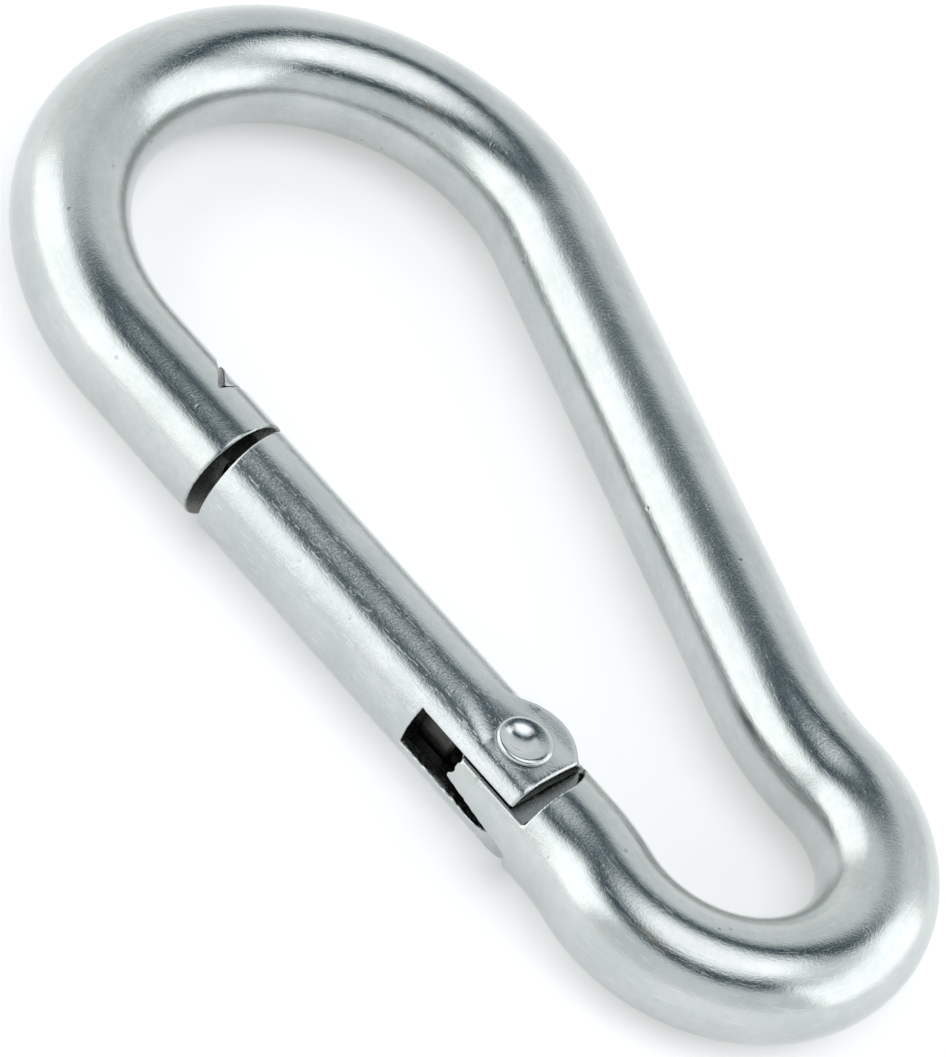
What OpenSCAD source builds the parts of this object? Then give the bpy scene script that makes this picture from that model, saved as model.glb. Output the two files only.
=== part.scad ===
// Pear-shaped spring hook with a tubular gate, lying flat on the XY plane.
// +X runs from the wide bow to the narrow bow through both bow centres, +Z is up,
// and the origin is under the middle of the overall box.
// Inside plan(), x runs along the gate from the nose to the hinge, y points across
// the loop from the gate to the spine, and z = 0 is the mid-plane of the bar.

/* [Bar and loop] */
// Diameter of the round bar
bar_d = 11; // [10.5:0.1:11.5]
// Centre-line radius of the wide bow
bow_r = 23.6; // [22.5:0.1:25]
// Centre-line radius of the narrow bow
eye_r = 13.8; // [13:0.1:14.5]
// Straight run on the gate side, from the wide bow to the neck
gate_side_run = 60; // [59.5:0.1:61]
// Centre-line radius of the neck on the gate side
gate_neck_r = 22; // [20:0.5:26]
// Angle that the gate-side neck turns outwards
gate_neck_turn = 12.8; // [11:0.1:14]
// Centre-line radius of the neck on the spine side
spine_neck_r = 27.5; // [24:0.5:32]
// Angle between the spine and the gate
spine_taper = 19.7; // [18.5:0.1:21]

/* [Nose and latch] */
// Distance of the nose's end face from the end of the wide bow
nose_x = 14.5; // [14:0.1:15]
// Distance of the latch notch's bottom from the end of the wide bow
notch_x = 9.2; // [9:0.1:9.6]
// Height of the notch's bottom above the bar's axis, towards the loop
notch_y = 0.6; // [0.2:0.1:1]
// Lean of the notch flank that carries the latch head
bearing_lean = 9.4; // [8:0.1:12]
// Lean of the notch flank that guides the latch head in
guide_lean = 45; // [42:1:48]
// Gap between the latch head and the bearing flank
bearing_gap = 0.3; // [0.2:0.05:0.4]
// Gap between the latch head and the guide flank
guide_gap = 0.6; // [0.4:0.05:0.8]
// Thickness of the blade that carries the latch head
blade_t = 3.2; // [2.8:0.1:3.6]
// Gap on each side of the blade in the nose slot
blade_gap = 0.2; // [0.15:0.05:0.3]
// Gap between the blade's end and the end of the nose slot
blade_end_gap = 0.3; // [0.2:0.05:0.4]

/* [Gate] */
// Gap between the nose and the gate at the inner side
end_gap = 0.2; // [0.15:0.05:0.4]
// Slant of the gate's end face
end_slant = 7.4; // [5:0.1:9]
// Diameter of the bore that holds the spring and the plunger
bore_d = 6.6; // [6.4:0.1:6.8]
// Distance of the bore's blind end from the end of the wide bow
bore_x = 26; // [24:0.5:28]

/* [Hinge] */
// Distance of the hinge axis from the end of the wide bow
pivot_x = 52; // [51.8:0.1:52.2]
// Length of the upper ear past the hinge axis
ear_reach = 4; // [3.6:0.1:4.1]
// Length of the lower ear past the hinge axis
low_ear_reach = 5.2; // [4:0.1:5.3]
// Radius of the round pad that the ears are pressed into
pad_r = 5.05; // [4.9:0.05:5.1]
// Half height of the seats pressed flat for the rivet heads
seat_z = 4.6; // [4.5:0.05:4.7]
// Radius of each pressed seat
seat_r = 3.5; // [3.2:0.1:3.8]
// Length of the fork slot before the hinge axis
slot_reach = 8; // [7.5:0.1:8.5]
// Width of the fork slot
slot_w = 4.2; // [4.1:0.1:4.4]
// Height of the fork slot's middle above the bar's mid-plane
slot_z = 1; // [0.9:0.1:1.1]
// Thickness of the flat tang
tang_t = 3.2; // [3:0.1:3.4]
// Gap between the tang and the upper ear
tang_gap = 0.2; // [0.15:0.05:0.3]
// Diameter of the rivet's shank
pin_d = 3.8; // [3.6:0.1:4]
// Radial play of the shank in the tang
pin_play = 0.05; // [0.03:0.01:0.08]
// Diameter of the rivet's heads
head_d = 5.3; // [5:0.1:5.6]
// Height of the rivet's heads
head_h = 0.75; // [0.6:0.05:0.8]

/* [Closing spring] */
// Wire diameter
wire_d = 0.8; // [0.7:0.05:0.9]
// Outer diameter of the coil
coil_d = 6; // [5.8:0.1:6.1]
// Number of turns
coil_turns = 9; // [8:1:10]
// Length of the plunger's thick end
plunger_len = 6; // [5:0.5:7]
// Diameter of the plunger's stem
stem_d = 3.6; // [3:0.1:3.8]
// Length of the plunger's stem
stem_len = 5; // [4:0.5:6]
// Sideways offset of the tang's cam from the hinge axis
cam_y = 1.5; // [1.4:0.1:1.6]
// Radius of the tang's cam
cam_r = 4.2; // [4:0.1:4.3]

/* [Hidden] */
$fn = 72;

// Plan of the loop: centres of the four bends and the ends of the spine. The bows
// are slightly thicker than the necks, and those than the straights, so that each
// stretch can run a lap into the next one and fuse with it.
bar_r = bar_d / 2;
neck_d = bar_d - 0.06;
rod_d = bar_d - 0.12;
lap = 0.8;
along = [-cos(spine_taper), sin(spine_taper)];
across = [-sin(spine_taper), -cos(spine_taper)];
bow_c = [0, bow_r];
gate_neck_c = [gate_side_run, -gate_neck_r];
gate_neck_dir = [sin(gate_neck_turn), cos(gate_neck_turn)];
eye_c = gate_neck_c + (gate_neck_r + eye_r) * gate_neck_dir;
neck_line = bow_c - (bow_r + spine_neck_r) * across;
eye_off = (eye_c - neck_line) * across;
spine_len = -(eye_c - neck_line) * along - sqrt(pow(eye_r + spine_neck_r, 2) - pow(eye_off, 2));
spine_neck_c = neck_line - spine_len * along;
spine_end = bow_c - bow_r * across;

// Angles at which the bends begin and end
eye_from = atan2(-gate_neck_dir.y, -gate_neck_dir.x);
to_spine_neck = spine_neck_c - eye_c;
eye_to = atan2(to_spine_neck.y, to_spine_neck.x);
spine_neck_from = 270 - spine_taper;
spine_neck_to = eye_to + 180;

// Frame: the X axis goes through both bow centres
centres = eye_c - bow_c;
centre_dist = norm(centres);
tilt = -atan2(centres.y, centres.x);
middle = bow_c + centres / centre_dist * (centre_dist + eye_r - bow_r) / 2;

// Latch: the slot in the nose and the blade that lies in it
nose_slot_x = notch_x - 1;
nose_slot_y = -1.5;
blade_x = nose_slot_x + blade_end_gap;
blade_y = nose_slot_y + blade_end_gap;
blade_top = 3.2;
blade_root = 3.8;
head_clear = 0.15;

// Hinge and tang
ear_x = pivot_x + ear_reach;
low_ear_x = pivot_x + low_ear_reach;
slot_x = pivot_x - slot_reach;
slot_top = slot_z + slot_w / 2;
tang_top = slot_top - tang_gap;
tang_z = tang_top - tang_t;
ear_sweep_r = 5.7;
shoulder_r = 5.85;
inner_shoulder = 4.3;
heel = 2.5;
cam_foot = 215;

// Rivet head: its rolled edge and the dish in its middle
head_foot = 0.2;
head_bevel = 0.25;
head_undercut = 0.1;
dish_r = 1.5;
dish_floor_r = 0.5;
dish_h = 0.3;

// Spring train, from the cam towards the nose
cam_play = 0.05;
plunger_d = bore_d - 0.2;
plunger_face = pivot_x - cam_r - cam_play;
plunger_back = plunger_face - plunger_len;
coil_end_gap = 0.05;
coil_from = bore_x + wire_d / 2 + coil_end_gap;
coil_to = plunger_back - wire_d / 2 - coil_end_gap;
coil_mean_r = (coil_d - wire_d) / 2;
coil_sides = 8;
coil_steps = 16;

// Lengths that run well past a shape, and a step that makes two solids overlap
far = 2 * bar_d;
over = 1;

module plan() {
    translate([0, 0, bar_r])
        rotate([0, 0, tilt])
            translate([-middle.x, -middle.y, 0])
                children();
}

// A round bar along the gate line, from x = from to x = to
module rod(from, to, d) {
    translate([from, 0, 0])
        rotate([0, 90, 0])
            cylinder(d = d, h = to - from);
}

// A bent stretch of the bar about a centre in the plan
module bend(centre, r, from, to, d) {
    translate([centre.x, centre.y, 0])
        rotate_extrude(angle = to - from, start = from)
            translate([r, 0])
                circle(d = d);
}

// The angle that a lap takes up on a bend
function lap_angle(r) = lap / r * 180 / PI;

module spine() {
    translate([spine_end.x, spine_end.y, 0])
        rotate([0, 0, -spine_taper])
            rod(-lap, spine_len + lap, rod_d);
}

module necks() {
    spine_lap = lap_angle(spine_neck_r);
    gate_lap = lap_angle(gate_neck_r);
    bend(spine_neck_c, spine_neck_r, spine_neck_from, spine_neck_to + spine_lap, neck_d);
    bend(gate_neck_c, gate_neck_r, 90 - gate_neck_turn - gate_lap, 90, neck_d);
}

module bows() {
    bend(bow_c, bow_r, 90 - spine_taper, 270, bar_d);
    bend(eye_c, eye_r, eye_from, eye_to, bar_d);
}

// Latch notch outline, grown inwards by the two gaps for the latch head
module notch_outline(bearing, guide) {
    rise = bar_d;
    bear_step = bearing / cos(bearing_lean);
    guide_step = guide / cos(guide_lean);
    meet = (bear_step + guide_step) / (tan(guide_lean) + tan(bearing_lean));
    foot_x = notch_x - bear_step + meet * tan(bearing_lean);
    foot_y = notch_y + meet;
    translate([foot_x, foot_y])
        polygon([
            [0, 0],
            [rise * tan(bearing_lean), rise],
            [-rise * tan(guide_lean), rise]
        ]);
}

module nose_cuts() {
    translate([0, 0, -far / 2])
        linear_extrude(far)
            notch_outline(0, 0);
    nose_slot_w = blade_t + 2 * blade_gap;
    translate([nose_slot_x, nose_slot_y, -nose_slot_w / 2])
        cube([far, far, nose_slot_w]);
}

// Plan of the tang's end: an eccentric cam and a straight heel
module tang_outline() {
    translate([pivot_x, cam_y])
        circle(r = cam_r);
    polygon([
        [pivot_x + cam_r * cos(cam_foot), cam_y + cam_r * sin(cam_foot)],
        [pivot_x - heel, -far],
        [pivot_x, -far],
        [pivot_x, cam_y]
    ]);
}

// Room around the hinge axis in which the ears swing
module ear_room() {
    translate([pivot_x, 0])
        circle(r = shoulder_r);
    translate([pivot_x - far, -bar_d])
        square([far + shoulder_r, bar_d]);
    translate([pivot_x - far, 0])
        square([far + inner_shoulder, bar_d]);
}

module tang() {
    difference() {
        rod(pivot_x - bar_r, gate_side_run + lap, rod_d);
        translate([0, 0, tang_top])
            linear_extrude(far)
                ear_room();
        translate([0, 0, tang_z - far])
            linear_extrude(far)
                ear_room();
        translate([0, 0, -far])
            linear_extrude(2 * far)
                difference() {
                    translate([pivot_x - far, -far])
                        square([far, 2 * far]);
                    tang_outline();
                }
        translate([pivot_x, 0, -far / 2])
            cylinder(d = pin_d + 2 * pin_play, h = far);
    }
}

module nose() {
    difference() {
        rod(-lap, nose_x, rod_d);
        nose_cuts();
    }
}

module hook_body() {
    color("silver")
        plan() {
            bows();
            necks();
            spine();
            nose();
            tang();
        }
}

module gate_blank() {
    slant_x = nose_x + end_gap + bar_r * tan(end_slant);
    difference() {
        rod(nose_x - over, low_ear_x, rod_d);
        translate([slant_x, 0, 0])
            rotate([0, 0, end_slant])
                translate([-far, -far / 2, -far / 2])
                    cube([far, far, far]);
    }
    intersection() {
        translate([pivot_x, 0, -seat_z])
            cylinder(r = pad_r, h = 2 * seat_z);
        translate([pivot_x - far, 0, -far])
            cube([far + ear_reach, far, 2 * far]);
    }
}

module latch() {
    intersection() {
        rod(0, pivot_x, bar_d - 2 * head_clear);
        union() {
            translate([0, 0, -far / 2])
                linear_extrude(far)
                    notch_outline(bearing_gap, guide_gap);
            translate([blade_x, blade_y, -blade_t / 2])
                cube([nose_x + blade_root - blade_x, blade_top - blade_y, blade_t]);
        }
    }
}

module seat_cut() {
    translate([pivot_x, 0, seat_z])
        cylinder(r = seat_r, h = bar_r);
}

module gate() {
    color("gainsboro")
        plan() {
            difference() {
                gate_blank();
                rod(bore_x, low_ear_x + over, bore_d);
                translate([ear_x, -far / 2, slot_z])
                    cube([far, far, far]);
                translate([slot_x, -far / 2, slot_z - slot_w / 2])
                    cube([far, far, slot_w]);
                seat_cut();
                mirror([0, 0, 1])
                    seat_cut();
                translate([pivot_x, 0, -far / 2])
                    cylinder(d = pin_d, h = far);
                translate([0, 0, -far / 2])
                    linear_extrude(far)
                        difference() {
                            translate([pivot_x, 0])
                                square([far, far]);
                            translate([pivot_x, 0])
                                circle(r = ear_sweep_r);
                        }
            }
            latch();
        }
}

module rivet_half() {
    head_z = seat_z + head_h;
    rotate_extrude()
        polygon([
            [0, 0],
            [pin_d / 2, 0],
            [pin_d / 2, seat_z],
            [head_d / 2 - head_undercut, seat_z],
            [head_d / 2, seat_z + head_foot],
            [head_d / 2 - head_bevel, head_z],
            [dish_r, head_z],
            [dish_floor_r, head_z - dish_h],
            [0, head_z - dish_h]
        ]);
}

module hinge_rivet() {
    color("lightgray")
        plan()
            translate([pivot_x, 0, 0]) {
                rivet_half();
                mirror([0, 0, 1])
                    rivet_half();
            }
}

module plunger() {
    color("dimgray")
        plan() {
            rod(plunger_back, plunger_face, plunger_d);
            rod(plunger_back - stem_len, plunger_back + over, stem_d);
        }
}

// A ring of points around the wire at one place along the coil
function coil_ring(t) =
    let (
        turn = 360 * coil_turns * t,
        mid = coil_from + (coil_to - coil_from) * t
    )
    [
        for (k = [0 : coil_sides - 1])
            let (
                a = 360 * k / coil_sides,
                r = coil_mean_r + wire_d / 2 * cos(a)
            )
            [mid + wire_d / 2 * sin(a), r * cos(turn), r * sin(turn)]
    ];

module closing_spring() {
    rings = coil_turns * coil_steps;
    points = [for (i = [0 : rings]) each coil_ring(i / rings)];
    sides = [
        for (i = [0 : rings - 1], k = [0 : coil_sides - 1])
            let (n = (k + 1) % coil_sides)
            [
                i * coil_sides + k,
                i * coil_sides + n,
                (i + 1) * coil_sides + n,
                (i + 1) * coil_sides + k
            ]
    ];
    first = [for (k = [coil_sides - 1 : -1 : 0]) k];
    last = [for (k = [0 : coil_sides - 1]) rings * coil_sides + k];
    color("darkgray")
        plan()
            polyhedron(points, concat([first, last], sides));
}

hook_body();
gate();
hinge_rivet();
plunger();
closing_spring();
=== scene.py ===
# %% [markdown]
# # A pear-shaped spring hook
# One round steel bar is bent into a pear-shaped loop. Its thin end carries a short
# tubular gate on a rivet, and a spring inside the tube keeps the gate shut against
# the nose. All that shows is plated with bright zinc. This notebook builds the looks
# of the hook round a frame that already fixes every size, joint and place.

# %% Load the frame
import math
from itertools import product

import bmesh
import bpy
import numpy as np
from mathutils import Matrix, Vector


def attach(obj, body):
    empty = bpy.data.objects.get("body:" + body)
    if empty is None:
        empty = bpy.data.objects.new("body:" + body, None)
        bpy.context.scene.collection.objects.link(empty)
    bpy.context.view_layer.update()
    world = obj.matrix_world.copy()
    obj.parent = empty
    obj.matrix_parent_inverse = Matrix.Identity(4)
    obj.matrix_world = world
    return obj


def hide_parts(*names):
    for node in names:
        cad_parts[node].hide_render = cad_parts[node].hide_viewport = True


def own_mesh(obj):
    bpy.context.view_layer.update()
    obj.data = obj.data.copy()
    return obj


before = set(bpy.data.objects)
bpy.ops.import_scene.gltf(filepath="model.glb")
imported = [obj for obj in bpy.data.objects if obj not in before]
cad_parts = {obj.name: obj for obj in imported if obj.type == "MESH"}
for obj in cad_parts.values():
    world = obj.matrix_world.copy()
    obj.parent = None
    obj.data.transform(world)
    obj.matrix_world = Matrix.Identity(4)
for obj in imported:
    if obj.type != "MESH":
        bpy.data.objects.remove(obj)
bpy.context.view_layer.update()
print("frame nodes:", sorted(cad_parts))

# %% [markdown]
# ## The camera
# The camera comes first, because it settles how much detail each place needs. It
# looks down on the hook from the gate's side through a long lens, and it is rolled,
# so that the hook lies along the picture's diagonal. A long lens keeps the near and
# the far bow almost the same size, as in a product picture.

# %% Camera
MM = 0.001
CAMERA_TARGET = Vector((1.4, -3.0, 5.5)) * MM
CAMERA_DISTANCE = 646.4 * MM
CAMERA_ELEVATION = 47.13
CAMERA_AZIMUTH = 35.86
CAMERA_ROLL = 27.46
CAMERA_LENS = 248.5
CLIP_START = 0.05
CLIP_END = 20


def direction(azimuth, elevation):
    """Unit vector towards an azimuth, counted from +X to +Y, and an elevation."""
    a, e = math.radians(azimuth), math.radians(elevation)
    return Vector((math.cos(a) * math.cos(e), math.sin(a) * math.cos(e), math.sin(e)))


def shown(name, data):
    """A new object in the scene for a mesh, a lamp or a camera."""
    made = bpy.data.objects.new(name, data)
    bpy.context.scene.collection.objects.link(made)
    return made


def make_camera():
    """Azimuth 0 looks along +Y, and a larger one moves the camera towards +X."""
    data = bpy.data.cameras.new("camera")
    data.lens = CAMERA_LENS
    data.clip_start = CLIP_START
    data.clip_end = CLIP_END
    camera = shown("main_camera", data)
    back = direction(CAMERA_AZIMUTH - 90, CAMERA_ELEVATION)
    camera.location = CAMERA_TARGET + CAMERA_DISTANCE * back
    level = (-back).to_track_quat("-Z", "Y").to_matrix()
    roll = Matrix.Rotation(math.radians(CAMERA_ROLL), 3, "Z")
    camera.rotation_euler = (level @ roll).to_euler()
    bpy.context.scene.camera = camera
    return camera


camera = make_camera()
print("camera at", [round(v, 4) for v in camera.location])

# %% [markdown]
# ## The plan of the loop
# The loop is a chain of arcs and straight runs that meet without a kink: nose, wide
# bow, spine, spine-side neck, narrow bow, gate-side neck and hinge. A real hook is
# bent round pins, so true arcs are the right curves. Sizes are in millimetres in
# the plan, where x runs along the gate from the nose to the hinge, y points across
# the loop, and z is 0 in the middle of the bar. `to_row` carries a point from the
# plan to its place in the frame, in metres.

# %% Plan sizes
BAR_R = 5.5
BOW_R = 23.6
EYE_R = 13.8
GATE_SIDE_RUN = 60.0
GATE_NECK_R = 22.0
GATE_NECK_TURN = 12.8
SPINE_NECK_R = 27.5
SPINE_TAPER = 19.7
PIVOT_X = 52.0


def unit(angle):
    return np.array([math.cos(math.radians(angle)), math.sin(math.radians(angle))])


def angle_of(vector):
    return math.degrees(math.atan2(vector[1], vector[0]))


spine_dir = unit(-SPINE_TAPER)
spine_out = unit(90 - SPINE_TAPER)
bow_c = np.array([0, BOW_R])
gate_neck_c = np.array([GATE_SIDE_RUN, -GATE_NECK_R])
eye_c = gate_neck_c + (GATE_NECK_R + EYE_R) * unit(90 - GATE_NECK_TURN)
neck_line = bow_c + (BOW_R + SPINE_NECK_R) * spine_out
eye_off = (eye_c - neck_line) @ spine_out
spine_len = (eye_c - neck_line) @ spine_dir - math.sqrt((EYE_R + SPINE_NECK_R) ** 2 - eye_off**2)
spine_neck_c = neck_line + spine_len * spine_dir
eye_to = angle_of(spine_neck_c - eye_c)

centres = eye_c - bow_c
centre_dist = np.linalg.norm(centres)
turn = -math.atan2(centres[1], centres[0])
middle = bow_c + centres / centre_dist * (centre_dist + EYE_R - BOW_R) / 2
TURN = np.array(
    [[math.cos(turn), -math.sin(turn), 0], [math.sin(turn), math.cos(turn), 0], [0, 0, 1]]
)


def to_row(points):
    """Plan millimetres to frame metres."""
    moved = np.asarray(points, float) - [middle[0], middle[1], 0]
    return (moved @ TURN.T + [0, 0, BAR_R]) * MM


print("spine", round(spine_len, 2), "mm, centres", round(centre_dist, 2), "mm apart")

# %% [markdown]
# ## Tools for cut and pressed shapes
# The nose, the hinge end and the gate are turned or drawn stock that has been sawn,
# drilled, slotted and pressed. Their edges are never knife sharp: zinc and tumbling
# leave them round by a tenth or two of a millimetre. Booleans and bevels could make
# them, but bevels break where a slot runs out of a round bar. A formula does it
# cleanly: each shape is a distance field, a cut is a smooth maximum, and the radius
# of the maximum is the round of the edge. `skin` lays a net of quads over the field
# and pulls every corner exactly onto it, so reflections stay clean.

# %% Rounded cuts
def smax(a, b, r):
    """The larger of two distances, with the edge between them rounded by about r."""
    return np.maximum(a, b) + np.maximum(r - np.abs(a - b), 0) ** 2 / (4 * r)


def smin(a, b, r):
    """The smaller of two distances, with a fillet of about r between them."""
    return -smax(-a, -b, r)


corner_loss = smax(0.0, 0.0, 0.3)
print("rounding by 0.3 mm takes", round(float(corner_loss), 3), "mm off a corner")


# %% Slope and pull
NEAR_ZERO = 1e-9
LEAST_SLOPE = 0.05


def slope(field, p, h=0.01):
    """The field's gradient at each point, by central differences."""
    steps = np.eye(3) * h
    return np.stack([(field(p + s) - field(p - s)) / (2 * h) for s in steps], -1)


def unit_rows(v):
    return v / np.maximum(np.linalg.norm(v, axis=1, keepdims=True), NEAR_ZERO)


def pull(field, p, limit, rounds=2):
    """Moves points along the gradient until they lie on the field's zero."""
    for _ in range(rounds):
        g = slope(field, p)
        steep = np.maximum((g * g).sum(1, keepdims=True), LEAST_SLOPE)
        move = field(p)[:, None] * g / steep
        length = np.linalg.norm(move, axis=1, keepdims=True)
        p = p - move * np.minimum(1, limit / np.maximum(length, NEAR_ZERO))
    return p


print("slopes are measured over 0.02 mm")


# %% Net of quads
def net_faces(inside, cells):
    """A quad round every grid edge that passes through the skin."""
    faces = []
    for a in range(3):
        b, c = (a + 1) % 3, (a + 2) % 3
        solid = inside.transpose(a, b, c)
        cell = cells.transpose(a, b, c)
        low, high = solid[:-1, 1:-1, 1:-1], solid[1:, 1:-1, 1:-1]
        i, j, k = np.nonzero(low != high)
        ring = [cell[i, j, k], cell[i, j + 1, k], cell[i, j + 1, k + 1], cell[i, j, k + 1]]
        quad = np.stack(ring, -1)
        outwards = low[i, j, k]
        faces += [quad[outwards], quad[~outwards][:, ::-1]]
    return np.concatenate(faces)


def skin(field, low, high, step, relax=6):
    """Corners and quads of the surface where the field is zero, inside a box."""
    low = np.array(low, float)
    counts = np.ceil((np.array(high) - low) / step).astype(int)
    axes = [low[a] + step * np.arange(counts[a] + 1) for a in range(3)]
    nodes = np.stack(np.meshgrid(*axes, indexing="ij"), -1)
    inside = field(nodes) < 0
    full = sum(
        inside[i : i + counts[0], j : j + counts[1], k : k + counts[2]].astype(int)
        for i, j, k in product((0, 1), repeat=3)
    )
    mixed = (full > 0) & (full < 8)
    cells = np.full(counts, -1)
    cells[mixed] = np.arange(mixed.sum())
    faces = net_faces(inside, cells)
    used = np.unique(faces)
    points = pull(field, low + step * (np.argwhere(mixed)[used] + 0.5), step)
    renumber = np.full(mixed.sum(), -1)
    renumber[used] = np.arange(len(used))
    faces = renumber[faces]
    for _ in range(relax):
        mid = points[faces].mean(1)
        ends = faces.ravel()
        spread = np.repeat(mid, 4, axis=0)
        share = np.bincount(ends, minlength=len(points))
        sums = [np.bincount(ends, spread[:, a], len(points)) for a in range(3)]
        points = pull(field, np.stack(sums, -1) / share[:, None], step)
    return points, faces


print("nets are smoothed and pulled back in turns")

# %% Wander
WAVES = 6
WAVE_SPREAD = 2.4
LATEST_START = 6.3


def ripple(p, seed, size):
    """A soft wander between -1 and 1 that breaks up dead-straight surfaces."""
    rng = np.random.default_rng(seed)
    total = 0
    for _ in range(WAVES):
        wave = rng.normal(0, WAVE_SPREAD / size, 3)
        total = total + np.sin(p @ wave + rng.uniform(0, LATEST_START))
    return total / WAVES


print("a wander is the mean of", WAVES, "waves")

# %% [markdown]
# ## Zinc plate
# Bright zinc on drawn wire is a soft mirror. Up close it has a fine orange peel,
# faint lines along the bar from the drawing die, small pits, and short scratches
# from tumbling in a barrel with the other hooks. The pattern has to run along the
# bent bar, so the material doesn't read plain object coordinates. It reads a vector
# stored on the mesh, `bar_place`: how far along the bar a point is, and where it is
# across the bar, in millimetres, as if the bar were straight. Sawn and milled faces
# carry a second value, `cut`, that makes them duller and shows saw lines. It also
# paints them far darker than bare steel, as painted shade in the notch, the slots
# and the bore.

# %% Node helpers
def new_material(name):
    material = bpy.data.materials.new(name)
    material.use_nodes = True
    tree = material.node_tree
    shader = next(n for n in tree.nodes if n.type == "BSDF_PRINCIPLED")
    return material, tree, shader


class Wires:
    """Short ways to add nodes to a material and join them."""

    def __init__(self, tree):
        self.tree = tree

    def node(self, kind, **settings):
        made = self.tree.nodes.new(kind)
        for key, value in settings.items():
            setattr(made, key, value)
        return made

    def feed(self, value, socket):
        if isinstance(value, bpy.types.NodeSocket):
            self.tree.links.new(value, socket)
        else:
            socket.default_value = value

    def math(self, operation, a, b=0.0, clamp=False):
        made = self.node("ShaderNodeMath", operation=operation, use_clamp=clamp)
        self.feed(a, made.inputs[0])
        self.feed(b, made.inputs[1])
        return made.outputs[0]

    def times(self, a, b):
        return self.math("MULTIPLY", a, b)

    def plus(self, a, b, clamp=False):
        return self.math("ADD", a, b, clamp)

    def scaled(self, vector, size, turn_by=(0, 0, 0)):
        made = self.node("ShaderNodeMapping")
        self.feed(vector, made.inputs["Vector"])
        made.inputs["Scale"].default_value = size
        made.inputs["Rotation"].default_value = turn_by
        return made.outputs[0]

    def noise(self, vector, scale, detail=2.0, rough=0.5):
        made = self.node("ShaderNodeTexNoise")
        self.feed(vector, made.inputs["Vector"])
        made.inputs["Scale"].default_value = scale
        made.inputs["Detail"].default_value = detail
        made.inputs["Roughness"].default_value = rough
        return made.outputs["Fac"]

    def between(self, value, low, high):
        """0 below low, 1 above high, smooth in between."""
        made = self.node("ShaderNodeMapRange", interpolation_type="SMOOTHSTEP")
        self.feed(value, made.inputs["Value"])
        made.inputs["From Min"].default_value = low
        made.inputs["From Max"].default_value = high
        return made.outputs[0]

    def mix(self, share, a, b):
        made = self.node("ShaderNodeMix", data_type="RGBA")
        self.feed(share, made.inputs["Factor"])
        colours = [s for s in made.inputs if s.type == "RGBA"]
        self.feed(a, colours[0])
        self.feed(b, colours[1])
        return next(s for s in made.outputs if s.type == "RGBA")

    def attribute(self, name):
        return self.node("ShaderNodeAttribute", attribute_name=name)


print("node helpers ready")

# %% Marks in the plate
SCRATCH_SETS = [
    {"turn_by": (0.3, 0.5, 0.9), "stretch": (0.5, 5.5, 5.5), "low": 0.63, "high": 0.70},
    {"turn_by": (0.9, -0.4, -0.6), "stretch": (0.7, 6.5, 6.5), "low": 0.64, "high": 0.71},
]
CLOUD_SCALE = 0.16
MOTTLE_SCALE = 1.1
GRAIN_SCALE = 4.6
SPECK_SCALE = 4.2
PIT_SCALE = 0.42
PIT_EDGE = (0.05, 0.12)
PIT_SHARE = (0.62, 0.7)
SPECK_SHARE = (0.62, 0.72)
DRAWN_STRETCH = (0.12, 2.6, 2.6)
SAWN_STRETCH = (6.0, 1.2, 1.2)


def scratches(w, place, turn_by, stretch, low, high):
    """Short thin lines in one direction, from a noise that is stretched along it."""
    lines = w.noise(w.scaled(place, stretch, turn_by), 1.0, 1.5)
    return w.between(lines, low, high)


def plate_marks(w, place, wear):
    """The patterns of the plate by name, each between 0 and 1."""
    marks = {
        "clouds": w.noise(place, CLOUD_SCALE, 3),
        "mottle": w.noise(place, MOTTLE_SCALE, 3),
        "grain": w.noise(place, GRAIN_SCALE, 5, 0.68),
        "drawn": w.noise(w.scaled(place, DRAWN_STRETCH), 1.0, 3),
        "sawn": w.noise(w.scaled(place, SAWN_STRETCH), 1.0, 3),
    }
    spots = w.node("ShaderNodeTexVoronoi", feature="F1")
    w.feed(place, spots.inputs["Vector"])
    spots.inputs["Scale"].default_value = PIT_SCALE
    few = w.between(spots.outputs["Color"], *PIT_SHARE)
    hole = w.math("SUBTRACT", 1.0, w.between(spots.outputs["Distance"], *PIT_EDGE))
    marks["pits"] = w.times(hole, few)
    nicks = w.math("MAXIMUM", *[scratches(w, place, **kind) for kind in SCRATCH_SETS])
    marks["nicks"] = w.times(nicks, wear)
    specks = w.between(w.noise(place, SPECK_SCALE, 1.0), *SPECK_SHARE)
    marks["specks"] = w.times(specks, wear)
    return marks


print("marks:", len(SCRATCH_SETS), "sets of scratches, pits, specks, grain and drawn lines")

# %% Colour, roughness and height
CLOUD_SHARE = 0.7
TONE_RANGE = (0.35, 0.65)
SAWN_RANGE = (0.3, 0.7)
PIT_COLOUR = (0.16, 0.17, 0.16, 1)
PIT_DARK = 0.35
NICK_COLOUR = (0.78, 0.80, 0.81, 1)
NICK_BRIGHT = 0.4
DEEP_TINT = (0.8, 0.92, 0.82)
SHALLOW_TINT = (1.15, 1.22, 1.12)
GRAIN_ROUGH = 0.2
CLOUD_ROUGH = 0.12
NICK_ROUGH = 0.2
SPECK_ROUGH = 0.25
CUT_ROUGH = 0.2
RAISED = {"mottle": 0.5, "drawn": 0.15, "pits": -1.2, "nicks": -0.35}
GRAIN_RAISED = 1.2
SAW_RAISED = 2.0


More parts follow.
